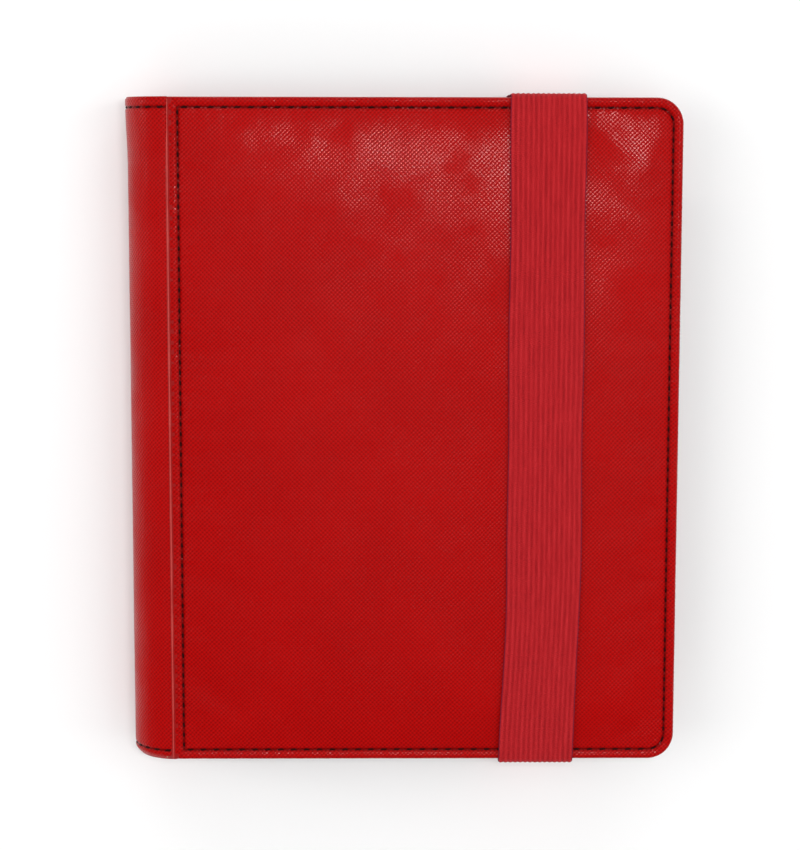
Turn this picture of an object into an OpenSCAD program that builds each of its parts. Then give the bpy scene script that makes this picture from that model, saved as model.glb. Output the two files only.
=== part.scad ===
// Padded side-loading binder for trading cards, lying closed on its back cover.
// +X points to the fore-edge, +Y to the head of the binder, +Z to the front cover.
// The origin is on the resting plane, under the middle of the closed binder.

/* [Covers] */
// Height of the covers, head to tail
cover_h = 215; // [170:1:330]
// Width of the closed binder, spine to fore-edge
binder_w = 178; // [150:1:290]
// Radius of the covers' fore-edge corners
corner_r = 8.5; // [3:0.5:15]
// Thickness of the leather skin
skin_t = 0.8; // [0.5:0.1:1.5]
// Thickness of the foam padding
foam_t = 1.8; // [1:0.1:4]
// Thickness of the board
board_t = 1.8; // [1:0.1:3]
// Thickness of the lining
lining_t = 0.6; // [0.3:0.1:1]
// Width of the flat hem around a cover
hem_w = 4.6; // [3.5:0.1:8]
// How far the hem lies below the padded face
hem_drop = 1.2; // [0.4:0.1:2.4]
// Width of the leather wall between the hem and the foam
side_wall = 0.8; // [0.5:0.1:1.5]
// Inset of the lining from the edge of a cover
lining_inset = 1.6; // [0.8:0.1:4]

/* [Spine] */
// How far the rounded spine stands out from the creases
spine_depth = 14; // [8:0.5:15]
// Thickness of the spine board
spine_board_t = 1.8; // [1:0.1:3]
// Clearance between the spine board and the rounded skin
spine_fit = 0.1; // [0.05:0.05:0.5]

/* [Pages] */
// Number of pages
page_count = 20; // [10:1:20]
// Distance from one page to the next
page_pitch = 1; // [0.9:0.05:1.3]
// Width of one card pocket
pocket_w = 67; // [60:0.5:75]
// Height of one card pocket
pocket_h = 92; // [85:0.5:105]
// Columns of pockets on a page
pocket_columns = 2; // [1:1:3]
// Rows of pockets on a page
pocket_rows = 2; // [1:1:3]
// Width of the weld around a pocket
weld_w = 3; // [1.5:0.25:5]
// Bare margin of a page next to the binding strip
bind_margin = 10; // [6:0.5:16]
// Thickness of the black page sheet
sheet_t = 0.18; // [0.12:0.01:0.2]
// Thickness of the clear pocket film
film_t = 0.1; // [0.06:0.01:0.14]
// Height of the weld that holds the film off the sheet
weld_t = 0.12; // [0.08:0.01:0.15]
// Width of the slit where a card goes in
slit_w = 1.2; // [0.8:0.1:2]
// Radius of a page's outer corners
page_corner_r = 4; // [2:0.5:8]
// Gap between a cover lining and the nearest page, beyond half the pitch
page_gap = 0.1; // [0.1:0.05:1]
// Gap between the binding strip and the edge of a page
strip_gap = 0.15; // [0.12:0.01:0.3]

/* [Strap] */
// Width of the elastic strap
strap_w = 24; // [15:1:40]
// Thickness of the elastic strap
strap_t = 1.2; // [0.8:0.1:1.6]
// Distance from the fore-edge to the middle of the strap
strap_inset = 43; // [25:1:70]
// Clearance between the strap and the covers
strap_clear = 0.3; // [0.2:0.05:0.6]
// Length of a strap end sewn into the back cover's hem
anchor_len = 4.5; // [3:0.1:5]
// Clearance around a sewn strap end
anchor_fit = 0.1; // [0.05:0.05:0.3]

/* [Thread] */
// Distance from one stitch to the next
stitch_pitch = 4.4; // [3:0.1:8]
// Length of one stitch
stitch_len = 2.3; // [1.5:0.1:2.8]
// Width of the thread
thread_w = 0.6; // [0.4:0.1:1]
// Height of a stitch above the hem
thread_t = 0.25; // [0.15:0.05:0.5]
// Distance from the edge to the line of stitches
stitch_inset = 3.2; // [2:0.1:3.4]

/* [Hidden] */
$fn = 64;
COVERS = ["front_cover", "back_cover"];
COVER_PARTS = ["skin", "foam", "board", "lining", "thread"];

// A cut runs this far past the face that it opens
cut = 1;

// Levels of one cover, counted from its inner face
board_z = lining_t;
foam_z = board_z + board_t;
skin_z = foam_z + foam_t;
cover_t = skin_z + skin_t;
hem_t = cover_t - hem_drop;

// The closed binder
stack_t = page_count * page_pitch + 2 * page_gap;
inner_z = cover_t;
front_z = inner_z + stack_t;
binder_t = front_z + cover_t;
mid_z = binder_t / 2;
// The thread stands out from the spine by its own height
left_x = -binder_w / 2 + thread_t;
right_x = binder_w / 2;
crease_x = left_x + spine_depth;
cover_len = right_x - crease_x;

// The spine's arc passes through both creases and its outermost line
spine_r = (spine_depth * spine_depth + mid_z * mid_z) / (2 * spine_depth);
spine_cx = left_x + spine_r;
spine_inner_r = spine_r - skin_t;
spine_lining_x = crease_x - lining_t;
spine_board_x = spine_lining_x - spine_board_t;

// Pages turn about lines that clear a cover standing square to the spine
page_x = crease_x + cover_t + 0.8;
sheet_w = bind_margin + pocket_columns * (pocket_w + weld_w);
sheet_h = pocket_rows * pocket_h + (pocket_rows + 1) * weld_w;
film_x = page_x + bind_margin;
film_w = pocket_columns * (pocket_w + weld_w);

// The strap
strap_x = right_x - strap_inset;
strap_y = cover_h / 2 + strap_clear;
strap_z = binder_t + strap_clear;
// The sewn ends lie in the middle of the back cover's hem
anchor_z = hem_drop + (cover_t - lining_t - hem_drop - strap_t) / 2;

function two_digits(n) = n < 10 ? str("0", n) : str(n);
function page_name(stem, n) = str(stem, "_", two_digits(n));
// Page 1 lies next to the front cover
function page_z(n) = front_z - page_gap - (n - 0.5) * page_pitch;

// Height at which the inside of the spine skin passes a given X
function spine_half(x) = sqrt(pow(spine_inner_r, 2) - pow(x - spine_cx, 2));

// A plate with its crease side at x = 0, square there and rounded at the fore-edge
module cover_plate(inset, z0, z1, r) {
    w = cover_len - 2 * inset;
    h = cover_h - 2 * inset;
    translate([inset, -h / 2, z0])
        linear_extrude(z1 - z0)
            union() {
                square([w - r, h]);
                translate([0, r]) square([w, h - 2 * r]);
                translate([w - r, r]) circle(r);
                translate([w - r, h - r]) circle(r);
            }
}

// Puts a cover's parts at the front, inner face down
module at_front() {
    translate([crease_x, 0, front_z]) children();
}

// Puts a cover's parts at the back, inner face up
module at_back() {
    translate([crease_x, 0, inner_z]) mirror([0, 0, 1]) children();
}

module cover_skin() {
    pad_inset = hem_w;
    core_inset = hem_w + side_wall;
    color([0.69, 0.06, 0.07])
        difference() {
            union() {
                cover_plate(0, board_z, hem_t, corner_r);
                cover_plate(pad_inset, board_z, cover_t, corner_r);
            }
            cover_plate(core_inset, board_z - cut, skin_z, corner_r);
        }
}

module cover_foam() {
    color([0.9, 0.88, 0.8])
        cover_plate(hem_w + side_wall, foam_z, skin_z, corner_r);
}

module cover_board() {
    color([0.62, 0.56, 0.46])
        cover_plate(hem_w + side_wall, board_z, foam_z, corner_r);
}

module cover_lining() {
    color([0.06, 0.06, 0.07])
        cover_plate(lining_inset, 0, board_z, corner_r - lining_inset / 2);
}

module stitch() {
    translate([-stitch_len / 2, -thread_w / 2, 0]) cube([stitch_len, thread_w, thread_t]);
}

// A straight row of whole stitches along +X, centred in its length
module stitch_row(row_len) {
    stitches = floor((row_len - stitch_len) / stitch_pitch) + 1;
    first = (row_len - (stitches - 1) * stitch_pitch) / 2;
    for (i = [0:stitches - 1]) translate([first + i * stitch_pitch, 0, 0]) stitch();
}

// Stitches around one fore-edge corner, a quarter turn from -Y to +X
module stitch_corner(r) {
    turns = max(1, floor(r * PI / 2 / stitch_pitch));
    for (i = [1:turns])
        rotate([0, 0, -90 + 90 * (i - 0.5) / turns]) translate([r, 0, 0]) rotate([0, 0, 90]) stitch();
}

module cover_thread() {
    turn_r = corner_r - stitch_inset;
    side_y = cover_h / 2 - stitch_inset;
    end_x = cover_len - stitch_inset;
    color([0.25, 0.03, 0.04])
        translate([0, 0, hem_t]) {
            for (s = [-1, 1]) {
                translate([stitch_inset, s * side_y, 0]) stitch_row(end_x - stitch_inset - turn_r);
                translate([end_x - turn_r, s * (side_y - turn_r), 0])
                    mirror([0, s > 0 ? 1 : 0, 0]) stitch_corner(turn_r);
            }
            for (x = [stitch_inset, end_x]) {
                trim = x == end_x ? turn_r : thread_w;
                translate([x, -side_y + trim, 0])
                    rotate([0, 0, 90]) stitch_row(2 * (side_y - trim));
            }
        }
}

module front_cover(layer) {
    at_front() cover_layer(layer);
}

module cover_layer(layer) {
    if (layer == "skin") cover_skin();
    if (layer == "foam") cover_foam();
    if (layer == "board") cover_board();
    if (layer == "lining") cover_lining();
    if (layer == "thread") cover_thread();
}

// A strap end passes in through the back cover's edge at the head (+1) or the tail (-1)
module strap_end_block(side, grow) {
    len = anchor_len + grow;
    y0 = side > 0 ? cover_h / 2 - len : -cover_h / 2 - strap_clear;
    translate([strap_x - strap_w / 2 - grow, y0, anchor_z - grow])
        cube([strap_w + 2 * grow, len + strap_clear, strap_t + 2 * grow]);
}

module strap_end(side) {
    color([0.75, 0.14, 0.2]) strap_end_block(side, 0);
}

module back_cover(layer) {
    difference() {
        at_back() cover_layer(layer);
        if (layer == "skin")
            for (side = [-1, 1]) strap_end_block(side, anchor_fit);
    }
}

// A slice of a cylinder along Y, from the outermost line of the spine to x1
module spine_segment(r, x1, len) {
    intersection() {
        translate([spine_cx, len / 2, mid_z]) rotate([90, 0, 0]) cylinder(r = r, h = len);
        translate([spine_cx - r - cut, -len / 2 - cut, mid_z - r - cut])
            cube([x1 - spine_cx + r + cut, len + 2 * cut, 2 * (r + cut)]);
    }
}

module spine_skin() {
    color([0.72, 0.1, 0.1])
        difference() {
            spine_segment(spine_r, crease_x, cover_h);
            spine_segment(spine_inner_r, crease_x + cut, cover_h - 2 * skin_t);
        }
}

module spine_foam() {
    color([0.9, 0.88, 0.8]) spine_segment(spine_inner_r, spine_board_x, cover_h - 2 * skin_t);
}

// A flat strip between the two sides of the spine skin
module spine_strip(x0, x1) {
    half = spine_half(x0) - spine_fit;
    len = cover_h - 2 * skin_t;
    translate([x0, -len / 2, mid_z - half]) cube([x1 - x0, len, 2 * half]);
}

module spine_board() {
    color([0.62, 0.56, 0.46]) spine_strip(spine_board_x, spine_lining_x);
}

module spine_lining() {
    color([0.06, 0.06, 0.07]) spine_strip(spine_lining_x, crease_x);
}

// Stitches over the rounded spine near its head and tail
module spine_thread() {
    reach = 60;
    turns = floor(spine_r * PI * 2 * reach / 180 / stitch_pitch);
    color([0.25, 0.03, 0.04])
        for (s = [-1, 1], i = [0:turns])
            translate([spine_cx, s * (cover_h / 2 - stitch_inset), mid_z])
                rotate([0, -reach + 2 * reach * i / turns, 0])
                    translate([-spine_r - thread_t / 2, 0, 0])
                        cube([thread_t, thread_w, stitch_len], center = true);
}

module page_binding_strip() {
    strip_h = page_count * page_pitch;
    color([0.1, 0.1, 0.11])
        translate([crease_x, -sheet_h / 2, mid_z - strip_h / 2])
            cube([page_x - strip_gap - crease_x, sheet_h, strip_h]);
}

module page_sheet(n) {
    r = page_corner_r;
    color([0.08, 0.08, 0.09])
        translate([page_x, -sheet_h / 2, page_z(n) - sheet_t / 2])
            linear_extrude(sheet_t)
                union() {
                    square([sheet_w - r, sheet_h]);
                    translate([0, r]) square([sheet_w, sheet_h - 2 * r]);
                    translate([sheet_w - r, r]) circle(r);
                    translate([sheet_w - r, sheet_h - r]) circle(r);
                }
}

// One film with its welds, lying on z = 0: each pocket opens at a slit on its spine side
module pocket_film() {
    step_x = pocket_w + weld_w;
    step_y = pocket_h + weld_w;
    inset = weld_w / 2;
    difference() {
        translate([0, inset, 0]) cube([film_w - inset, sheet_h - 2 * inset, weld_t + film_t]);
        for (i = [0:pocket_columns - 1], j = [0:pocket_rows - 1])
            translate([i * step_x, weld_w + j * step_y, 0]) {
                translate([i == 0 ? -cut : 0, 0, -cut])
                    cube([pocket_w + (i == 0 ? cut : 0), pocket_h, cut + weld_t]);
                if (i > 0) cube([slit_w, pocket_h, weld_t + film_t + cut]);
            }
    }
}

module page_pockets(n) {
    color([0.75, 0.78, 0.8, 0.4])
        translate([film_x, -sheet_h / 2, page_z(n)]) {
            translate([0, 0, sheet_t / 2]) pocket_film();
            mirror([0, 0, 1]) translate([0, 0, sheet_t / 2]) pocket_film();
        }
}

// The strap runs from the back cover's head edge over the front to its tail edge
module elastic_strap() {
    outer_y = strap_y + strap_t;
    color([0.76, 0.14, 0.19])
        translate([strap_x - strap_w / 2, 0, 0])
            difference() {
                translate([0, -outer_y, anchor_z])
                    cube([strap_w, 2 * outer_y, strap_z + strap_t - anchor_z]);
                translate([-cut, -strap_y, anchor_z - cut])
                    cube([strap_w + 2 * cut, 2 * strap_y, strap_z - anchor_z + cut]);
            }
}

for (layer = COVER_PARTS) {
    front_cover(layer);
    back_cover(layer);
}
spine_skin();
spine_foam();
spine_board();
spine_lining();
spine_thread();
page_binding_strip();
elastic_strap();
strap_end(1);  // strap_end_head
strap_end(-1);  // strap_end_tail
for (n = [1:page_count]) {
    page_sheet(n);
    page_pockets(n);
}
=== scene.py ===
"""Looks of the trading card binder: leather covers, stitching, strap and pages around the CAD frame."""
import math

import bmesh
import bpy
import numpy as np
from mathutils import Matrix, Vector, noise


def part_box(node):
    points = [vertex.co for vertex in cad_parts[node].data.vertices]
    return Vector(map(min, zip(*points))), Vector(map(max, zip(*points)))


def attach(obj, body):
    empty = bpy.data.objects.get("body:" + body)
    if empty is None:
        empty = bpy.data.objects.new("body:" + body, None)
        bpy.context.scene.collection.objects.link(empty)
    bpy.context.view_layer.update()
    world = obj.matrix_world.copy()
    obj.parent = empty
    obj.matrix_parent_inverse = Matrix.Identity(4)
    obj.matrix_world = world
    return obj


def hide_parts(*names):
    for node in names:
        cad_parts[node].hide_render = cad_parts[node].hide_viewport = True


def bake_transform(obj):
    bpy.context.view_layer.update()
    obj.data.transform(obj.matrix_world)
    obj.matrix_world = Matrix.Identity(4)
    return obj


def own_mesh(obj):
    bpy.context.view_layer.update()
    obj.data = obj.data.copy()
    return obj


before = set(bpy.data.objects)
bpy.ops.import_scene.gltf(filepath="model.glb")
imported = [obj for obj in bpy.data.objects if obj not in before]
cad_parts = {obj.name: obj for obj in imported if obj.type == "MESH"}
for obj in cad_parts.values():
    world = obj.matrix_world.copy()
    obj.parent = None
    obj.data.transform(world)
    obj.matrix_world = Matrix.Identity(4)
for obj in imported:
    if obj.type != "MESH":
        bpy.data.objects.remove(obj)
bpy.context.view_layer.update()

MM = 0.001

# ---------------------------------------------------------------- sizes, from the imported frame
skin_lo, skin_hi = (Vector(c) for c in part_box("front_cover_skin"))
lining_lo = Vector(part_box("front_cover_lining")[0])
spine_lo = Vector(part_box("spine_skin")[0])
strap_lo, strap_hi = (Vector(c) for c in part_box("elastic_strap"))
strap_end_lo, strap_end_hi = (Vector(c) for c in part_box("strap_end_head"))
back_lining_hi = Vector(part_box("back_cover_lining")[1])

CREASE_X = skin_lo.x
COVER_LEN = skin_hi.x - skin_lo.x
COVER_H = skin_hi.y - skin_lo.y
TOP_Z = skin_hi.z
COVER_T = TOP_Z - lining_lo.z
MID_Z = TOP_Z / 2
SPINE_DEPTH = CREASE_X - spine_lo.x
SPINE_R = (SPINE_DEPTH ** 2 + MID_Z ** 2) / (2 * SPINE_DEPTH)

CORNER_R = 8.5 * MM                # outer corners of the covers
STITCH_INSET = 3.3 * MM            # edge to thread
STITCH_PITCH = 4.2 * MM            # short seams
SIDE_PITCH = 3.3 * MM              # long seams
STITCH_SHARE = 0.55                # thread length over pitch
STITCH_SLANT = math.radians(7)
THREAD_R = 0.30 * MM
HEM_T = COVER_T - 1.2 * MM         # cover thickness at the flat hem
LIP_Z = 0.5 * MM                   # underside of the rolled edge above the inner face
RIM = 1.0 * MM                     # radius of the rolled edge, seen from above
GRID_STEP = 1.1 * MM               # mesh spacing of the leather
SEAM_STEP = 0.35 * MM              # finer mesh spacing next to a seam
SEAM_LINES = 13                    # number of those finer lines
LEAST_GAP = 0.2 * MM               # closest two mesh lines may lie
HATCH_PITCH = 0.98 * MM            # crossed ridges of the leather
HATCH_DEPTH = 0.058 * MM
CREST_DEPTH = 0.014 * MM           # the same ridges as the worn coat shows them
DIMPLE_DEPTH = 0.45 * MM           # soft unevenness under the grain
PAINTED_SEAM_SHADE_WIDTH = 0.40 * MM       # reach of the painted shade line under the thread


# ---------------------------------------------------------------- node helpers
class Shader:
    """A material with short calls for the nodes that the finishes share."""

    def __init__(self, name, **sockets):
        self.mat = bpy.data.materials.new(name)
        self.mat.use_nodes = True
        self.nodes = self.mat.node_tree.nodes
        self.links = self.mat.node_tree.links
        self.bsdf = self.nodes["Principled BSDF"]
        for key, value in sockets.items():
            self.bsdf.inputs[key.replace("_", " ")].default_value = value

    def put(self, socket, value):
        if isinstance(value, bpy.types.NodeSocket):
            self.links.new(value, socket)
        else:
            socket.default_value = value

    def node(self, kind, **inputs):
        made = self.nodes.new(kind)
        for key, value in inputs.items():
            self.put(made.inputs[key.replace("_", " ")], value)
        return made

    def math(self, operation, a, b=0.0, c=0.0):
        made = self.nodes.new("ShaderNodeMath")
        made.operation = operation
        for socket, value in zip(made.inputs, (a, b, c)):
            self.put(socket, value)
        return made.outputs[0]

    def coords(self, kind="UV"):
        return self.nodes.new("ShaderNodeTexCoord").outputs[kind]

    def split(self, vector):
        return self.node("ShaderNodeSeparateXYZ", Vector=vector).outputs

    def noise(self, vector, scale, detail=3.0, rough=0.55):
        made = self.node("ShaderNodeTexNoise", Vector=vector, Scale=scale, Detail=detail)
        made.inputs["Roughness"].default_value = rough
        return made.outputs["Fac"]

    def ramp(self, fac, stops):
        made = self.node("ShaderNodeValToRGB", Fac=fac)
        ramp = made.color_ramp
        while len(ramp.elements) < len(stops):
            ramp.elements.new(0.5)
        for element, (place, colour) in zip(ramp.elements, stops):
            element.position = place
            element.color = (*colour, 1.0)
        return made.outputs["Color"]

    def remap(self, value, lo, hi, to_lo, to_hi):
        made = self.node("ShaderNodeMapRange", Value=value)
        for key, number in zip(("From Min", "From Max", "To Min", "To Max"), (lo, hi, to_lo, to_hi)):
            made.inputs[key].default_value = number
        return made.outputs[0]

    def bump(self, height, distance, strength=1.0, under=None):
        made = self.node("ShaderNodeBump", Height=height, Distance=distance, Strength=strength)
        if under is not None:
            self.links.new(under, made.inputs["Normal"])
        return made.outputs["Normal"]

    def finish(self, colour, rough, normal):
        self.put(self.bsdf.inputs["Base Color"], colour)
        self.put(self.bsdf.inputs["Roughness"], rough)
        self.put(self.bsdf.inputs["Normal"], normal)
        return self.mat


def diagonal_lines(sh, x, y, pitch, sign, wobble):
    """Soft ridges at 45 degrees, 1 on a ridge and 0 in a groove."""
    along = sh.math("MULTIPLY_ADD", y, sign, x)
    phase = sh.math("MULTIPLY", along, 2 * math.pi / (pitch * math.sqrt(2)))
    wave = sh.math("SINE", sh.math("ADD", phase, wobble))
    return sh.math("MULTIPLY_ADD", wave, 0.5, 0.5)


def saffiano_leather():
    """Cross-hatched faux leather: crossed ridges, with a thin glossy coat on their worn crests."""
    sh = Shader("saffiano_leather", Specular_IOR_Level=0.07, Coat_Roughness=0.18)
    uv = sh.coords()
    x, y, _ = sh.split(uv)
    wobble = sh.math("MULTIPLY", sh.noise(uv, 300.0, 3.0), 4.2)
    rise = diagonal_lines(sh, x, y, HATCH_PITCH, -1.0, wobble)
    fall = diagonal_lines(sh, x, y, HATCH_PITCH, 1.0, wobble)
    both = sh.math("MULTIPLY_ADD", fall, 0.85, rise)
    fine = sh.noise(uv, 2600.0, 3.0)
    patch = sh.noise(uv, 75.0, 4.0)
    height = sh.math("MULTIPLY_ADD", fine, 0.7, both)
    soft = sh.bump(sh.noise(uv, 34.0, 3.0), DIMPLE_DEPTH, 0.5)
    normal = sh.bump(height, HATCH_DEPTH, 1.0, soft)
    # Colour: random mottling, plus painted shade in the grooves between the ridges and a painted highlight
    # on their crests.
    tone = sh.math("MULTIPLY_ADD", sh.noise(uv, 30.0, 4.0), 0.30, sh.math("MULTIPLY", both, 0.42))
    colour = sh.ramp(tone, [(0.1, (0.21, 0.0001, 0.0001)), (0.45, (0.34, 0.0003, 0.0003)),
                            (0.85, (0.46, 0.0020, 0.0018))])
    # Painted shade: the leather's colour darkens towards near black along the stitched grooves, read from
    # the seam attribute.
    seam = sh.nodes.new("ShaderNodeAttribute")
    seam.attribute_name = "seam"
    painted_groove_shade = sh.math("MULTIPLY", seam.outputs["Fac"], 0.8)
    mixed = sh.node("ShaderNodeMixRGB", Fac=painted_groove_shade, Color1=colour, Color2=(0.045, 0.0005, 0.0006, 1.0))
    worn = sh.math("MULTIPLY_ADD", patch, 1.5, sh.math("ADD", both, fine))
    rough = sh.remap(worn, 1.1, 3.1, 0.44, 0.22)
    crest = sh.remap(sh.math("MULTIPLY_ADD", fine, 1.2, both), 1.55, 1.95, 0.0, 1.0)
    shine = sh.math("MULTIPLY", crest, sh.remap(patch, 0.38, 0.62, 0.06, 0.55))
    sh.put(sh.bsdf.inputs["Coat Weight"], shine)
    sh.put(sh.bsdf.inputs["Coat Normal"], sh.bump(both, CREST_DEPTH, 1.0, soft))
    return sh.finish(mixed.outputs[0], rough, normal)


def crease_leather():
    """The ridge of leather along a fold, paler along its crest than the panels."""
    sh = Shader("crease_leather", Specular_IOR_Level=0.35)
    uv = sh.coords()
    grain = sh.noise(uv, 1500.0, 4.0)
    x = sh.math("SUBTRACT", sh.split(uv)[0], CREASE_X)
    away = sh.math("MULTIPLY_ADD", sh.noise(uv, 90.0, 3.0), 0.5 * MM, sh.math("ABSOLUTE", x))
    crest = sh.remap(away, 0.30 * MM, 0.62 * MM, 1.0, 0.0)
    colour = sh.ramp(crest, [(0.0, (0.32, 0.0012, 0.001)), (0.9, (0.50, 0.048, 0.040))])
    rough = sh.remap(grain, 0.3, 0.7, 0.5, 0.36)
    return sh.finish(colour, rough, sh.bump(grain, 0.1 * MM, 0.8))


def thread_cotton():
    sh = Shader("thread_painted_hole_shade", Specular_IOR_Level=0.2)
    spot = sh.coords("Object")
    x, y, _ = sh.split(spot)
    twist = sh.math("SINE", sh.math("MULTIPLY", sh.math("ADD", x, y), 2 * math.pi / (0.35 * MM)))
    # Near-black thread colour: painted shade of the stitch holes, laid on the thread itself.
    colour = sh.ramp(sh.noise(spot, 2500.0), [(0.3, (0.010, 0.0006, 0.001)), (0.8, (0.045, 0.002, 0.003))])
    return sh.finish(colour, sh.remap(twist, -1, 1, 0.75, 0.5), sh.bump(twist, 0.05 * MM, 0.7))


def elastic_webbing():
    """Ribbed elastic: the ribs are in the mesh, with painted shade in their grooves and a painted highlight
    on their crests; the cross weave is bump and tone.
    """
    sh = Shader("elastic_webbing", Specular_IOR_Level=0.15, Sheen_Weight=0.08, Sheen_Roughness=0.5)
    sh.bsdf.inputs["Sheen Tint"].default_value = (1.0, 0.45, 0.5, 1.0)
    uv = sh.coords()
    x, y, _ = sh.split(uv)
    rib = sh.math("COSINE", sh.math("MULTIPLY", x, 2 * math.pi / RIB_PITCH))
    shift = sh.math("MULTIPLY", sh.math("SIGN", rib), math.pi / 2)
    pick = sh.math("SINE", sh.math("MULTIPLY_ADD", y, 2 * math.pi / (0.62 * MM), shift))
    fibre = sh.noise(uv, 3200.0, 3.0)
    long_way = sh.node("ShaderNodeMapping", Vector=uv, Scale=(1.0, 0.10, 1.0)).outputs[0]
    streak = sh.math("SUBTRACT", sh.noise(long_way, 900.0, 4.0, 0.7), 0.5)
    yarn = sh.math("MULTIPLY_ADD", streak, 0.9, fibre)
    # The rib term is painted shade in the rib grooves and a painted highlight on the rib crests; pick and
    # yarn are the weave's own tone.
    tone = sh.math("MULTIPLY_ADD", rib, 0.15, sh.math("MULTIPLY_ADD", pick, 0.13, yarn))
    weave = sh.ramp(tone, [(0.12, (0.27, 0.0040, 0.0075)), (0.5, (0.42, 0.0080, 0.0120)),
                           (0.88, (0.54, 0.0200, 0.0260))])
    selvedge = sh.math("GREATER_THAN", sh.math("ABSOLUTE", x), STRAP_W / 2 - 0.22 * MM)
    mixed = sh.node("ShaderNodeMixRGB", Fac=selvedge, Color1=weave, Color2=(0.16, 0.008, 0.03, 1.0))
    colour = mixed.outputs[0]
    normal = sh.bump(sh.math("MULTIPLY_ADD", fibre, 0.4, pick), 0.07 * MM, 0.8)
    return sh.finish(colour, sh.remap(fibre, 0.3, 0.7, 0.78, 0.62), normal)


def woven_cloth(name, dark, light, pitch=0.55 * MM):
    """Plain weave in object space, for linings."""
    sh = Shader(name, Specular_IOR_Level=0.25, Sheen_Weight=0.2)
    spot = sh.coords("Object")
    x, y, _ = sh.split(spot)
    warp = sh.math("SINE", sh.math("MULTIPLY", x, 2 * math.pi / pitch))
    weft = sh.math("SINE", sh.math("MULTIPLY", y, 2 * math.pi / pitch))
    weave = sh.math("MULTIPLY", warp, weft)
    tone = sh.math("MULTIPLY_ADD", weave, 0.2, sh.noise(spot, 700.0))
    colour = sh.ramp(tone, [(0.2, dark), (0.8, light)])
    return sh.finish(colour, sh.remap(weave, -1, 1, 0.85, 0.65), sh.bump(weave, 0.08 * MM, 0.7))


def page_plastic():
    """Black polypropylene sheet with a fine orange-peel emboss."""
    sh = Shader("page_plastic", Specular_IOR_Level=0.45)
    spot = sh.coords("Object")
    grain = sh.noise(spot, 1800.0, 2.0)
    smear = sh.noise(spot, 22.0, 4.0)
    colour = sh.ramp(smear, [(0.3, (0.008, 0.008, 0.009)), (0.7, (0.020, 0.020, 0.022))])
    return sh.finish(colour, sh.remap(smear, 0.3, 0.7, 0.46, 0.34), sh.bump(grain, 0.03 * MM, 0.5))


def pocket_film():
    """Clear glossy film, faintly rippled."""
    sh = Shader("pocket_film", IOR=1.45, Alpha=0.22, Specular_IOR_Level=0.6)
    spot = sh.coords("Object")
    ripple = sh.noise(spot, 60.0, 3.0)
    colour = sh.ramp(ripple, [(0.3, (0.62, 0.65, 0.68)), (0.7, (0.86, 0.88, 0.90))])
    return sh.finish(colour, sh.remap(ripple, 0.3, 0.7, 0.10, 0.2), sh.bump(ripple, 0.4 * MM, 0.5))


def fibre_board():
    sh = Shader("fibre_board", Specular_IOR_Level=0.15)
    spot = sh.coords("Object")
    fibre = sh.noise(spot, 900.0, 6.0, 0.7)
    colour = sh.ramp(fibre, [(0.3, (0.24, 0.20, 0.15)), (0.7, (0.42, 0.36, 0.27))])
    return sh.finish(colour, sh.remap(fibre, 0, 1, 0.95, 0.8), sh.bump(fibre, 0.1 * MM))


def open_foam():
    sh = Shader("open_foam", Specular_IOR_Level=0.1, Sheen_Weight=0.2)
    spot = sh.coords("Object")
    cells = sh.node("ShaderNodeTexVoronoi", Vector=spot, Scale=1400.0).outputs["Distance"]
    colour = sh.ramp(cells, [(0.1, (0.55, 0.52, 0.42)), (0.6, (0.84, 0.81, 0.72))])
    return sh.finish(colour, sh.remap(cells, 0, 1, 0.95, 0.85), sh.bump(cells, 0.2 * MM))


# ---------------------------------------------------------------- mesh helpers
def add_piece(name, verts, faces, uvs, material, smooth=True):
    """Makes a mesh object; uvs holds one (u, v) in metres for each vertex.

    With a material, the piece is a closed shell and its faces are turned outwards."""
    mesh = bpy.data.meshes.new(name)
    mesh.from_pydata([tuple(v) for v in verts], [], faces)
    layer = mesh.uv_layers.new(name="UVMap")
    corner_verts = np.empty(len(mesh.loops), dtype=np.int32)
    mesh.loops.foreach_get("vertex_index", corner_verts)
    layer.data.foreach_set("uv", np.asarray(uvs, dtype=np.float32)[corner_verts].ravel())
    if material:
        mesh.materials.append(material)
    mesh.polygons.foreach_set("use_smooth", [smooth] * len(mesh.polygons))
    mesh.validate()
    if material:
        shell = bmesh.new()
        shell.from_mesh(mesh)
        bmesh.ops.recalc_face_normals(shell, faces=shell.faces)
        shell.to_mesh(mesh)
        shell.free()
    obj = bpy.data.objects.new(name, mesh)
    bpy.context.scene.collection.objects.link(obj)
    return obj


def store_painted_seam_shade(piece, painted_shade_depths):
    """Stores how deep each vertex lies in a stitched groove, for the painted shade that darkens the leather
    there.
    """
    values = np.zeros(len(piece.data.vertices), dtype=np.float32)
    values[:len(painted_shade_depths)] = painted_shade_depths
    piece.data.attributes.new("seam", "FLOAT", "POINT").data.foreach_set("value", values)


def grid_faces(rows, columns, start=0, flip=False, wrap=False):
    """Quads over rows x columns vertices; wrap joins the last column to the first."""
    faces = []
    for i in range(rows - 1):
        for j in range(columns if wrap else columns - 1):
            k = (j + 1) % columns
            quad = [start + i * columns + j, start + i * columns + k,
                    start + (i + 1) * columns + k, start + (i + 1) * columns + j]
            faces.append(quad[::-1] if flip else quad)
    return faces


def even_pitch(length):
    """The pitch that fits a whole number of stitches in a length; long seams are sewn finer."""
    wanted = SIDE_PITCH if length > COVER_LEN else STITCH_PITCH
    return length / round(length / wanted)


def pucker(along, length):
    """1 on a stitch and -1 between two, along a seam of the given length."""
    return math.cos(2 * math.pi * (along / even_pitch(length) - 0.5))


def smooth_step(value, lo, hi):
    t = min(max((value - lo) / (hi - lo), 0.0), 1.0)
    return t * t * (3 - 2 * t)


def groove(distance, width=0.48 * MM):
    return math.exp(-(distance / width) ** 2)


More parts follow.
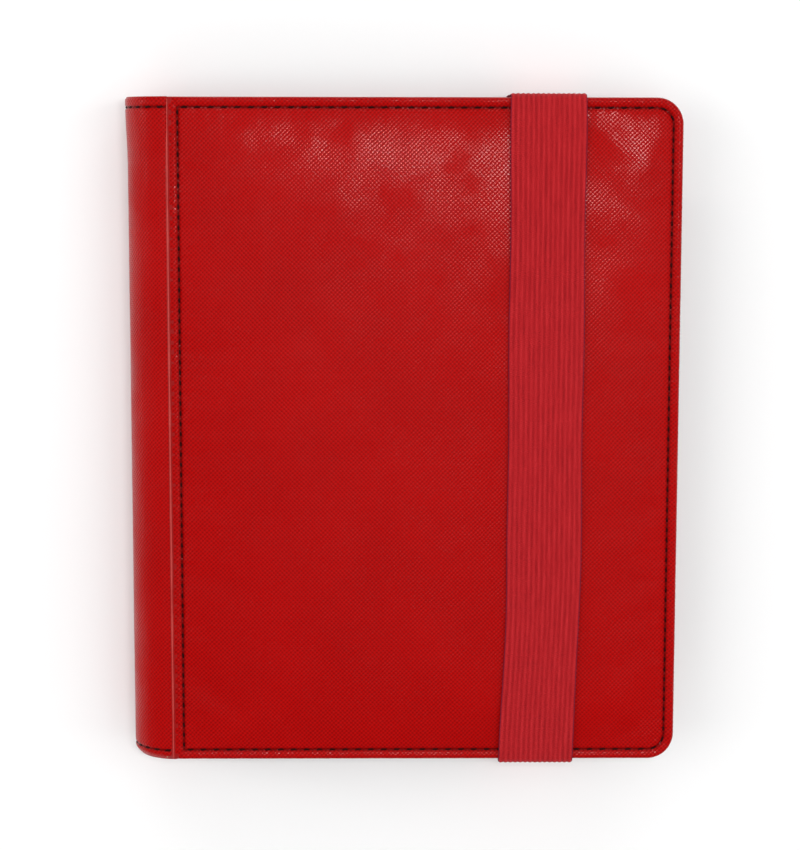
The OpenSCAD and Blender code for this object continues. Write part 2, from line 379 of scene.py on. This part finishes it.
# ---------------------------------------------------------------- covers
SIDE_RUN = COVER_LEN - STITCH_INSET - CORNER_R
CORNER_RUN = (CORNER_R - STITCH_INSET) * math.pi / 2
EDGE_RUN = COVER_H - 2 * CORNER_R
PAD_START = 4.0 * MM               # edge to where the padding begins
PAD_REACH = 9.5 * MM               # how fast the unsimulated padding rises
CLOTH_STEP = 3.5 * MM
CLOTH_FRAMES = 20
CLOTH_START = 0.2 * MM             # unevenness the sheet starts with
CLOTH_EXCESS = 0.004               # how much too large the sheet is cut
FULLNESS = 2.0                     # how soon the foam stops the sheet's rise
GROOVE_DEPTH = 0.55 * MM           # leather drawn down along a seam
PUCKER_DEPTH = 0.16 * MM           # more under each stitch, and beside it
PUCKER_REACH = 2.4 * MM
BEAD_INSET = 1.15 * MM             # crest of the rounded hem
BEAD_RISE = 0.28 * MM
CREASE_RISE = 0.9 * MM             # leather rising to the crease
CREASE_REACH = 2.2 * MM
FOLD_RISE = 0.20 * MM              # small folds beside the crease's seam
WAVE_RISE = 0.22 * MM              # slow waves of the padded face
PRESSED_WAVE = 0.03 * MM           # the same on the face the binder lies on
FLOOR_GAP = 0.01 * MM


def edge_inset(x, y):
    """Distance from a cover's round-cornered free edge."""
    dx, dy = x - (COVER_LEN - CORNER_R), abs(y) - (COVER_H / 2 - CORNER_R)
    if dx > 0 and dy > 0:
        return CORNER_R - math.hypot(dx, dy)
    return min(COVER_LEN - x, COVER_H / 2 - abs(y))


def inflate_leather(seed):
    """Cloth simulation of one cover's leather: its rise over the foam, 0 to 1, on an even grid.

    The sheet is held along its seams, is cut a little too large, and is blown up from below."""
    rows = round(COVER_LEN / CLOTH_STEP) + 1
    columns = round(COVER_H / CLOTH_STEP) + 1
    spots = [(COVER_LEN * i / (rows - 1), COVER_H * (j / (columns - 1) - 0.5))
             for i in range(rows) for j in range(columns)]
    verts = [(x, y, CLOTH_START * noise.noise(Vector((x * 45, y * 45, seed)))) for x, y in spots]
    sheet = add_piece("leather_sheet", verts, grid_faces(rows, columns, flip=True), spots, None)
    held = [k for k, (x, y) in enumerate(spots) if min(edge_inset(x, y), x) < PAD_START]
    sheet.vertex_groups.new(name="seam").add(held, 1.0, "REPLACE")
    cloth = sheet.modifiers.new("inflate", "CLOTH")
    cloth.settings.quality = 8
    cloth.settings.use_pressure = True
    cloth.settings.uniform_pressure_force = 4.0
    cloth.settings.shrink_min = -CLOTH_EXCESS
    cloth.settings.bending_stiffness = 0.6
    cloth.settings.effector_weights.gravity = 0
    cloth.settings.vertex_group_mass = "seam"
    cloth.point_cache.frame_start = 1
    cloth.point_cache.frame_end = CLOTH_FRAMES
    for step in range(1, CLOTH_FRAMES + 1):
        bpy.context.scene.frame_set(step)
    bpy.context.view_layer.objects.active = sheet
    bpy.ops.object.modifier_apply(modifier="inflate")
    rise = np.array([v.co.z for v in sheet.data.vertices]).reshape(rows, columns)
    bpy.data.meshes.remove(sheet.data)
    bpy.context.scene.frame_set(1)
    return 1 - np.exp(-FULLNESS * np.maximum(rise, 0) / np.median(rise[rise > 0]))


def spline_weights(t):
    """Cubic B-spline weights of the four grid lines around a point."""
    return np.array([(1 - t) ** 3, 3 * t ** 3 - 6 * t ** 2 + 4,
                     -3 * t ** 3 + 3 * t ** 2 + 3 * t + 1, t ** 3]) / 6


def sheet_rise(sheet, x, y):
    """The simulated rise at a point, smoothed between the grid's points."""
    parts = []
    for place, count in ((x / COVER_LEN, sheet.shape[0]), (y / COVER_H + 0.5, sheet.shape[1])):
        at = min(max(place, 0.0), 1.0) * (count - 1)
        first = min(int(at), count - 2)
        near = np.clip(np.arange(first - 1, first + 3), 0, count - 1)
        parts.append((near, spline_weights(at - first)))
    (across, wx), (up, wy) = parts
    return float(wx @ sheet[np.ix_(across, up)] @ wy)


class Padding:
    """How one cover's leather stands over its foam."""

    def __init__(self, swell, press, seed):
        self.swell = swell
        self.press = press
        self.sheet = inflate_leather(seed)

    def rise(self, x, y):
        """From 0 at the seams to about 1 where the foam fills the leather."""
        if self.sheet is not None:
            return sheet_rise(self.sheet, x, y)
        gaps = (COVER_LEN - x, COVER_H / 2 - abs(y), x)
        rise = 1.0
        for gap in gaps:
            rise *= 1 - math.exp(-max(gap - PAD_START, 0.0) / PAD_REACH)
        return rise


def cover_height(x, y, inset, along, run, pad):
    """Height of the leather above the cover's inner face, at inset from the edge."""
    crease_gap = x
    rise = pad.rise(x, y) * smooth_step(min(inset, crease_gap + 0.4 * MM), 3.6 * MM, 5.4 * MM)
    height = HEM_T + pad.swell * rise
    height = min(height, COVER_T - 2 * FLOOR_GAP) if pad.press else height
    seam = min(inset, crease_gap)
    if crease_gap < inset:
        along, run = y + COVER_H / 2, COVER_H
    stitched = pucker(along, run)
    height -= (GROOVE_DEPTH + PUCKER_DEPTH * stitched) * groove(seam - STITCH_INSET)
    past = abs(seam - STITCH_INSET)
    height -= PUCKER_DEPTH * stitched * math.exp(-past / PUCKER_REACH) * smooth_step(past, 0, 1.1 * MM)
    if crease_gap > 2 * MM:
        height += BEAD_RISE * groove(inset - BEAD_INSET, 1.0 * MM)
    height += CREASE_RISE * smooth_step(CREASE_REACH - crease_gap, 0, 2.0 * MM)
    wave = noise.noise(Vector((x * 26, y * 22, pad.swell * 900))) + \
        0.5 * noise.noise(Vector((x * 70, y * 60, 7.0)))
    folds = noise.noise(Vector((x * 450, y * 330, 1.0)))
    height += FOLD_RISE * folds * groove(crease_gap - STITCH_INSET, 2.2 * MM)
    height += wave * (PRESSED_WAVE if pad.press else WAVE_RISE) * rise
    return min(height, COVER_T - FLOOR_GAP) if pad.press else height


def grid_lines(length, fine_start, fine_end):
    """Even lines along a side, with extra ones in the seam next to each chosen end."""
    count = round(length / GRID_STEP)
    lines = {round(length * i / count, 7) for i in range(count + 1)}
    extra = [SEAM_STEP * k for k in range(1, SEAM_LINES + 1)]
    if fine_start:
        lines |= {round(v, 7) for v in extra}
    if fine_end:
        lines |= {round(length - v, 7) for v in extra}
    ordered = sorted(lines)
    kept = ordered[:1]
    for value in ordered[1:-1]:
        if value - kept[-1] > LEAST_GAP and length - value > LEAST_GAP:
            kept.append(value)
    return kept + [length]


def rounded(x, y):
    """Moves a point of the square-cornered cover onto the round-cornered one.

    Gives the new point, its inset from the edge, and its place along the seam."""
    half = COVER_H / 2
    cx, cy = COVER_LEN - CORNER_R, half - CORNER_R
    side = 1 if y > 0 else -1
    dx, dy = x - cx, abs(y) - cy
    if dx > 0 and dy > 0:
        reach = max(dx, dy)
        angle = math.pi / 4 * (dy / dx if dx >= dy else 2 - dx / dy)
        point = (cx + reach * math.cos(angle), side * (cy + reach * math.sin(angle)))
        return point, CORNER_R - reach, (angle / (math.pi / 2)) * CORNER_RUN, CORNER_RUN
    if COVER_LEN - x < half - abs(y):
        return (x, y), COVER_LEN - x, y + EDGE_RUN / 2, EDGE_RUN
    return (x, y), half - abs(y), x - STITCH_INSET, SIDE_RUN


def make_cover_skin(name, body, pad, inner_z, up, material):
    """A closed leather shell: padded face, rolled edge and a flat turned-in underside."""
    xs = grid_lines(COVER_LEN - RIM, True, True)
    ys = [v - COVER_H / 2 + RIM for v in grid_lines(COVER_H - 2 * RIM, True, True)]
    verts, uvs, heights, painted_shade_depths = [], [], {}, []
    for x in xs:
        for y in ys:
            (px, py), inset, along, run = rounded(x, y)
            height = cover_height(px, py, inset, along, run, pad)
            # Painted shade for the stitched groove, read by the leather's colour.
            painted_shade_depths.append(groove(min(inset, px) - STITCH_INSET, PAINTED_SEAM_SHADE_WIDTH))
            heights[len(verts)] = height
            verts.append((CREASE_X + px, py, inner_z + up * height))
            uvs.append((CREASE_X + px, py))
    rows, columns = len(xs), len(ys)
    faces = grid_faces(rows, columns, flip=up < 0)
    tail = [i * columns for i in range(rows)]
    fore = [(rows - 1) * columns + j for j in range(1, columns)]
    head = [i * columns + columns - 1 for i in range(rows - 2, -1, -1)]
    path = tail + fore + head
    loops = [path]
    turns = 7
    for k in range(1, turns + 3):
        loop = []
        for index in path:
            x, y, _ = verts[index]
            top = heights[index]
            normal = edge_normal(x - CREASE_X, y)
            if k <= turns:
                angle = math.pi / 2 - math.pi * k / turns
                out = RIM * math.cos(angle)
                level = (top + LIP_Z) / 2 + (top - LIP_Z) / 2 * math.sin(angle)
            else:
                out = -1.1 * MM * (k - turns)
                level = LIP_Z
            spread = RIM * math.pi / turns * k
            loop.append(len(verts))
            verts.append((x + normal[0] * out, y + normal[1] * out, inner_z + up * level))
            uvs.append((x + normal[0] * spread, y + normal[1] * spread))
        loops.append(loop)
    for outer, inner in zip(loops, loops[1:]):
        for a, b, c, d in zip(outer, outer[1:], inner[1:], inner):
            faces.append([a, d, c, b] if up > 0 else [a, b, c, d])
    crease_edge = list(range(columns))[::-1]
    side_wall = crease_edge + [loop[0] for loop in loops[1:]] + [loop[-1] for loop in loops[:0:-1]]
    faces.append(side_wall if up > 0 else side_wall[::-1])
    faces.append(loops[-1][::-1] if up > 0 else loops[-1])
    piece = add_piece(name, verts, faces, uvs, material)
    store_painted_seam_shade(piece, painted_shade_depths)
    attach(piece, body)
    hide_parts(body + "_skin", body + "_foam")
    return piece


def edge_normal(x, y):
    """The outward direction of a cover's edge, seen from above."""
    cx, cy = COVER_LEN - CORNER_R, COVER_H / 2 - CORNER_R
    dx, dy = x - cx, abs(y) - cy
    side = 1 if y > 0 else -1
    if dx > 0 and dy > 0:
        reach = math.hypot(dx, dy)
        return dx / reach, side * dy / reach
    return (1.0, 0.0) if COVER_LEN - x < COVER_H / 2 - abs(y) else (0.0, float(side))


# ---------------------------------------------------------------- stitches
def add_stitch(verts, faces, centre, direction, up, pitch):
    """One thread loop on the surface, a little slanted: its ends dive into the leather."""
    up = Vector(up).normalized()
    direction = Matrix.Rotation(STITCH_SLANT, 3, up) @ Vector(direction).normalized()
    half = pitch * STITCH_SHARE / 2
    across = direction.cross(up)
    rings, sides = 9, 8
    start = len(verts)
    for i in range(rings):
        t = 2 * i / (rings - 1) - 1
        lift = 0.10 * MM - 0.42 * MM * abs(t) ** 3.5
        radius = THREAD_R * (1 - 0.35 * abs(t) ** 3) * (1 + 0.10 * math.sin(9 * t))
        for j in range(sides):
            angle = 2 * math.pi * j / sides
            offset = across * (1.15 * radius * math.cos(angle)) + up * (radius * math.sin(angle) + lift)
            verts.append(Vector(centre) + direction * (half * t) + offset)
    faces.extend(grid_faces(rings, sides, start, wrap=True))
    faces.append([start + j for j in range(sides)][::-1])
    faces.append([start + (rings - 1) * sides + j for j in range(sides)])


def seam_spots(length):
    """Places of the stitches along a seam of the given length."""
    pitch = even_pitch(length)
    return [(i + 0.5) * pitch for i in range(round(length / pitch))]


def make_cover_thread(name, body, pad, inner_z, up, material):
    verts, faces = [], []
    half = COVER_H / 2
    corner = (COVER_LEN - CORNER_R, half - CORNER_R)

    def place(x, y, direction, along, run, inset):
        height = cover_height(x, y, inset, along, run, pad) + 0.12 * MM
        add_stitch(verts, faces, (CREASE_X + x, y, inner_z + up * height), (*direction, 0), (0, 0, up),
                   even_pitch(run))

    for side in (-1, 1):
        for spot in seam_spots(SIDE_RUN):
            place(STITCH_INSET + spot, side * (half - STITCH_INSET), (1, 0), spot, SIDE_RUN, STITCH_INSET)
        for spot in seam_spots(CORNER_RUN):
            angle = spot / CORNER_RUN * math.pi / 2
            reach = CORNER_R - STITCH_INSET
            place(corner[0] + reach * math.cos(angle), side * (corner[1] + reach * math.sin(angle)),
                  (-math.sin(angle), side * math.cos(angle)), spot, CORNER_RUN, STITCH_INSET)
    for spot in seam_spots(EDGE_RUN):
        place(COVER_LEN - STITCH_INSET, spot - EDGE_RUN / 2, (0, 1), spot, EDGE_RUN, STITCH_INSET)
    for spot in seam_spots(COVER_H):
        if SIDE_PITCH < spot < COVER_H - SIDE_PITCH:
            y = spot - half
            place(STITCH_INSET, y, (0, 1), spot, COVER_H, half - abs(y))
    piece = add_piece(name, verts, faces, [(v.x, v.y) for v in verts], material)
    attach(piece, body)
    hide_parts(body + "_thread")
    return piece


# ---------------------------------------------------------------- spine
SPINE_CX = CREASE_X - SPINE_DEPTH + SPINE_R
SPINE_SWEEP = math.acos((SPINE_CX - CREASE_X) / SPINE_R)
SPINE_RUN = 2 * SPINE_SWEEP * SPINE_R
SPINE_TUCK = 0.22 * MM             # leather drawn in next to the creases
SPINE_GROOVE = 0.42 * MM
SPINE_PUCKER = 0.12 * MM
HEAD_FLARE = 0.7 * MM              # the head end stands out
TAIL_TAPER = 1.3 * MM              # the tail end draws in
END_ROLL = 0.5 * MM
SPINE_WAVE = 0.16 * MM


def spine_radius(y, arc):
    """Radius of the spine's leather: hem groove, rolled end and soft creases."""
    gap = COVER_H / 2 - abs(y)
    stitched = pucker(arc, SPINE_RUN)
    radius = SPINE_R - 0.05 * MM
    radius -= (SPINE_GROOVE + SPINE_PUCKER * stitched) * groove(gap - STITCH_INSET)
    if y > 0:
        over_floor = smooth_step(math.sin(SPINE_SWEEP - arc / SPINE_R), -0.95, -0.3)
        radius += HEAD_FLARE * (1 - smooth_step(gap, 2.0 * MM, 22 * MM)) * over_floor
    else:
        radius -= TAIL_TAPER * (1 - smooth_step(gap, 0, 3.4 * MM)) ** 2
    radius -= END_ROLL * (1 - smooth_step(gap, 0, 0.9 * MM))
    wave = noise.noise(Vector((arc * 60, y * 16, 3.0))) + 0.4 * noise.noise(Vector((arc * 150, y * 50, 5.0)))
    return radius - SPINE_WAVE * abs(wave)


def spine_point(angle, radius, y):
    return SPINE_CX - radius * math.cos(angle), y, MID_Z + radius * math.sin(angle)


def make_spine_skin(material):
    ys = [v - COVER_H / 2 for v in grid_lines(COVER_H, True, True)]
    steps = 64
    verts, uvs, painted_shade_depths = [], [], []
    for i in range(steps + 1):
        angle = SPINE_SWEEP - 2 * SPINE_SWEEP * i / steps
        arc = (SPINE_SWEEP - angle) * SPINE_R
        tuck = SPINE_TUCK * math.exp(-min(arc, SPINE_RUN - arc) / (1.1 * MM))
        for y in ys:
            verts.append(spine_point(angle, spine_radius(y, arc) - tuck, y))
            uvs.append((CREASE_X - arc, y))
            # Painted shade for the stitched groove, read by the leather's colour.
            painted_shade_depths.append(groove(COVER_H / 2 - abs(y) - STITCH_INSET, PAINTED_SEAM_SHADE_WIDTH))
    columns = len(ys)
    faces = grid_faces(steps + 1, columns, flip=True)
    tail = [i * columns for i in range(steps + 1)]
    head = [i * columns + columns - 1 for i in range(steps + 1)]
    faces += [tail, head[::-1]]
    first = list(range(columns))
    last = [steps * columns + j for j in range(columns)]
    faces.append(first + last[::-1])
    skin = add_piece("spine_padded_skin", verts, faces, uvs, material)
    store_painted_seam_shade(skin, painted_shade_depths)
    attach(skin, "spine")
    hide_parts("spine_skin", "spine_foam")
    return skin


def make_spine_thread(material):
    verts, faces = [], []
    for side in (-1, 1):
        y = side * (COVER_H / 2 - STITCH_INSET)
        for spot in seam_spots(SPINE_RUN):
            angle = SPINE_SWEEP - spot / SPINE_R
            centre = spine_point(angle, spine_radius(y, spot) + 0.1 * MM, y)
            outward = (-math.cos(angle), 0, math.sin(angle))
            along = (-math.sin(angle), 0, -math.cos(angle))
            add_stitch(verts, faces, centre, along, outward, even_pitch(SPINE_RUN))
    piece = add_piece("spine_stitches", verts, faces, [(v.x, v.y) for v in verts], material)
    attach(piece, "spine")
    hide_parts("spine_thread")
    return piece


def make_crease(name, z, up, material):
    """The raised ridge of leather over one fold."""
    half = 1.9 * MM
    length = COVER_H - 1.4 * MM
    ys = [v - length / 2 for v in grid_lines(length, False, False)]
    profile = 14
    verts, uvs = [], []
    for i in range(profile + 1):
        t = 2 * i / profile - 1
        for y in ys:
            gap = COVER_H / 2 - abs(y)
            end = smooth_step(gap, 0, 3.0 * MM)
            wander = 0.22 * MM * noise.noise(Vector((y * 40, 2.0 + up, 0.0)))
            ridge = math.exp(-((t * half - wander) / (0.42 * MM)) ** 2)
            low = 1.05 * MM * abs(t) ** 2
            lift = (0.50 + 0.14 * noise.noise(Vector((y * 90, 4.0, up)))) * MM * ridge
            height = -0.36 * MM - low + (lift if up > 0 else 0.3 * MM * ridge) * (0.45 + 0.55 * end)
            verts.append((CREASE_X + t * half, y, z + up * height))
            uvs.append((CREASE_X + t * half, y))
    columns = len(ys)
    top_count = len(verts)
    for i in range(profile + 1):
        for j in range(columns):
            x, y, top = verts[i * columns + j]
            verts.append((x, y, top - up * 0.7 * MM))
            uvs.append((x, y))
    faces = grid_faces(profile + 1, columns, flip=up < 0)
    faces += grid_faces(profile + 1, columns, start=top_count, flip=up > 0)
    border = [i * columns for i in range(profile + 1)]
    border += [profile * columns + j for j in range(1, columns)]
    border += [i * columns + columns - 1 for i in range(profile - 1, -1, -1)]
    border += list(range(columns - 2, 0, -1))
    for a, b in zip(border, border[1:] + border[:1]):
        quad = [a, b, b + top_count, a + top_count]
        faces.append(quad[::-1] if up > 0 else quad)
    piece = add_piece(name, verts, faces, uvs, material)
    end = (CREASE_X + 1.2 * MM, 0, z)
    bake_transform(piece)
    return piece


# ---------------------------------------------------------------- elastic strap
STRAP_W = strap_hi.x - strap_lo.x
STRAP_X = (strap_lo.x + strap_hi.x) / 2
STRAP_RIBS = 15
RIB_PITCH = STRAP_W / STRAP_RIBS
STRAP_HALF_T = 0.5 * MM
ANCHOR_Z = (strap_end_lo.z + strap_end_hi.z) / 2


def strap_rise(y):
    """Height of the strap's middle over the front cover."""
    gap = max(COVER_H / 2 - abs(y), 0.0)
    return TOP_Z - 0.35 * MM + 1.75 * MM * (1 - math.exp(-gap / (8 * MM)))


def strap_lean(y):
    """The strap leans a little towards the spine near the tail."""
    return -0.5 * MM * (0.5 - y / COVER_H) - 1.9 * MM * smooth_step(-y, 0.045, 0.112)


def strap_path():
    """Points (y, z) and outward normals of the strap's middle line, tail to head."""
    side_y = COVER_H / 2 + 0.3 * MM + STRAP_HALF_T
    bend = 2.0 * MM
    points = []
    reach = side_y - bend
    spans = 170
    for i in range(-spans, spans + 1):
        y = reach * i / spans
        points.append((y, strap_rise(y)))
    top = points[0][1]
    arc = [(side_y - bend + bend * math.sin(a), top - bend + bend * math.cos(a))
           for a in (math.pi / 2 * k / 8 for k in range(1, 9))]
    drop = [(side_y, top - bend - (top - bend - ANCHOR_Z) * k / 24) for k in range(1, 25)]
    head = arc + drop
    tail = [(-y, z) for y, z in reversed(head)]
    line = tail + points + head
    normals = []
    for k in range(len(line)):
        before, after = line[max(k - 1, 0)], line[min(k + 1, len(line) - 1)]
        dy, dz = after[0] - before[0], after[1] - before[1]
        size = math.hypot(dy, dz)
        normals.append((-dz / size, dy / size))
    return line, normals


def make_strap(material):
    line, normals = strap_path()
    per_rib = 8
    across = STRAP_RIBS * per_rib
    verts, uvs = [], []
    ring = []
    for k in range(across + 1):
        u = -STRAP_W / 2 + STRAP_W * k / across
        ridge = 0.10 * MM * math.cos(2 * math.pi * (u / RIB_PITCH)) * (1 if STRAP_RIBS % 2 else -1)
        edge = smooth_step(STRAP_W / 2 - abs(u), 0, 0.5 * MM)
        ring.append((u, (STRAP_HALF_T - 0.12 * MM + ridge) * (0.35 + 0.65 * edge)))
    ring += [(u, -t) for u, t in reversed(ring)]
    run = 0.0
    for k, ((y, z), (ny, nz)) in enumerate(zip(line, normals)):
        if k:
            run += math.hypot(y - line[k - 1][0], z - line[k - 1][1])
        pinch = 1.0 - 0.012 * math.cos(run * 95)
        for u, t in ring:
            verts.append((STRAP_X + strap_lean(y) + u * pinch, y + ny * t, z + nz * t))
            uvs.append((u, run))
    columns = len(ring)
    faces = grid_faces(len(line), columns, wrap=True)
    faces.append(list(range(columns))[::-1])
    faces.append([(len(line) - 1) * columns + j for j in range(columns)])
    piece = add_piece("ribbed_elastic_strap", verts, faces, uvs, material)
    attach(piece, "strap")
    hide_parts("elastic_strap")
    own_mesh(piece)
    return piece


# ---------------------------------------------------------------- assembly
leather = saffiano_leather()
ridge_leather = crease_leather()
cotton = thread_cotton()
webbing = elastic_webbing()
FRONT_SWELL = 1.9 * MM
BACK_SWELL = 1.4 * MM
back_top = back_lining_hi.z

front_pad = Padding(FRONT_SWELL, False, 3.0)
back_pad = Padding(BACK_SWELL, True, 8.0)

make_cover_skin("front_cover_padded_skin", "front_cover", front_pad, lining_lo.z, 1, leather)
make_cover_skin("back_cover_padded_skin", "back_cover", back_pad, back_top, -1, leather)
make_cover_thread("front_cover_stitches", "front_cover", front_pad, lining_lo.z, 1, cotton)
make_cover_thread("back_cover_stitches", "back_cover", back_pad, back_top, -1, cotton)
spine_skin = make_spine_skin(leather)
spine_thread = make_spine_thread(cotton)
for piece in (spine_skin, spine_thread):
    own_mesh(piece)
make_crease("front_crease_ridge", TOP_Z, 1, ridge_leather)
make_crease("back_crease_ridge", 0.0, -1, ridge_leather)
make_strap(webbing)

lining_cloth = woven_cloth("lining_cloth", (0.006, 0.006, 0.007), (0.022, 0.022, 0.025))
sewn_webbing = woven_cloth("sewn_webbing", (0.33, 0.008, 0.015), (0.55, 0.025, 0.04), RIB_PITCH / 2)
finishes = {
    "lining": lining_cloth,
    "board": fibre_board(),
    "foam": open_foam(),
    "page_sheet": page_plastic(),
    "page_pockets": pocket_film(),
    "page_binding_strip": woven_cloth("binding_tape", (0.008, 0.008, 0.009), (0.02, 0.02, 0.022), 0.8 * MM),
    "strap_end": sewn_webbing,
}
for name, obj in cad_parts.items():
    for key, finish in finishes.items():
        if key in name:
            obj.data.materials.clear()
            obj.data.materials.append(finish)


# ---------------------------------------------------------------- floor, light and camera
def make_floor():
    size = 6.0
    corners = [(-size, -size, 0), (size, -size, 0), (size, size, 0), (-size, size, 0)]
    floor = add_piece("studio_floor", corners, [[0, 1, 2, 3]], [(0, 0), (1, 0), (1, 1), (0, 1)], None,
                      smooth=False)
    sh = Shader("pale_paper", Specular_IOR_Level=0.1)
    spot = sh.coords("Object")
    haze = sh.noise(spot, 3.0)
    colour = sh.ramp(haze, [(0.3, (0.93, 0.93, 0.93)), (0.7, (0.96, 0.96, 0.96))])
    sh.finish(colour, 0.9, sh.bump(sh.noise(spot, 500.0), 0.02 * MM, 0.2))
    floor.data.materials.clear()
    floor.data.materials.append(sh.mat)


def make_light(name, place, size, power, glossy=True):
    """A rectangular soft light aimed at the origin; glossy says whether it shows in reflections."""
    data = bpy.data.lights.new(name, "AREA")
    data.shape = "RECTANGLE"
    data.size, data.size_y = size
    data.energy = power
    light = bpy.data.objects.new(name, data)
    bpy.context.scene.collection.objects.link(light)
    light.location = place
    light.visible_glossy = glossy
    light.rotation_euler = (-Vector(place)).to_track_quat("-Z", "Y").to_euler()


CAMERA_TILT = math.radians(7.12)
CAMERA_YAW = math.radians(-0.71)
CAMERA_ROLL = math.radians(0.10)
CAMERA_DISTANCE = 0.70
CAMERA_LENS = 92.3
AIM = Vector((-0.92 * MM, 3.19 * MM, TOP_Z))


def make_camera():
    data = bpy.data.cameras.new("camera")
    data.sensor_width = 36.0
    data.lens = CAMERA_LENS
    data.clip_start = 0.01
    camera = bpy.data.objects.new("camera", data)
    bpy.context.scene.collection.objects.link(camera)
    away = Vector((math.sin(CAMERA_YAW), math.sin(CAMERA_TILT), math.cos(CAMERA_TILT))).normalized()
    right = Vector((0, 1, 0)).cross(away).normalized()
    facing = Matrix((right, away.cross(right), away)).transposed()
    turn = facing @ Matrix.Rotation(CAMERA_ROLL, 3, "Z")
    camera.matrix_world = Matrix.Translation(AIM + away * CAMERA_DISTANCE) @ turn.to_4x4()
    bpy.context.scene.camera = camera


def make_world():
    world = bpy.data.worlds.new("studio")
    world.use_nodes = True
    background = world.node_tree.nodes["Background"]
    background.inputs["Color"].default_value = (1.0, 1.0, 1.0, 1.0)
    background.inputs["Strength"].default_value = 0.46
    bpy.context.scene.world = world
    world.cycles_visibility.glossy = False


make_floor()
make_world()
make_light("head_softbox", (0.09, 0.165, 1.0), (0.26, 0.05), 2.3)
make_light("left_sheen", (-1.1, 0.1, 0.86), (0.8, 1.8), 0.8)
make_light("right_sheen", (1.1, 0.1, 0.86), (0.8, 1.8), 0.9)
make_light("far_strip", (0.0, 0.95, 0.7), (1.4, 0.12), 2.6)
make_light("left_softbox", (-1.1, 0.1, 0.85), (0.8, 1.8), 5.4, glossy=False)
make_light("left_kicker", (-0.9, 0.15, 0.25), (0.12, 0.3), 0.5)
make_light("right_softbox", (1.1, 0.1, 0.85), (0.8, 1.8), 6.0, glossy=False)
make_light("near_softbox", (0.0, -1.1, 0.85), (1.8, 0.8), 2.6, glossy=False)
make_camera()
bpy.context.scene.view_settings.view_transform = "Standard"
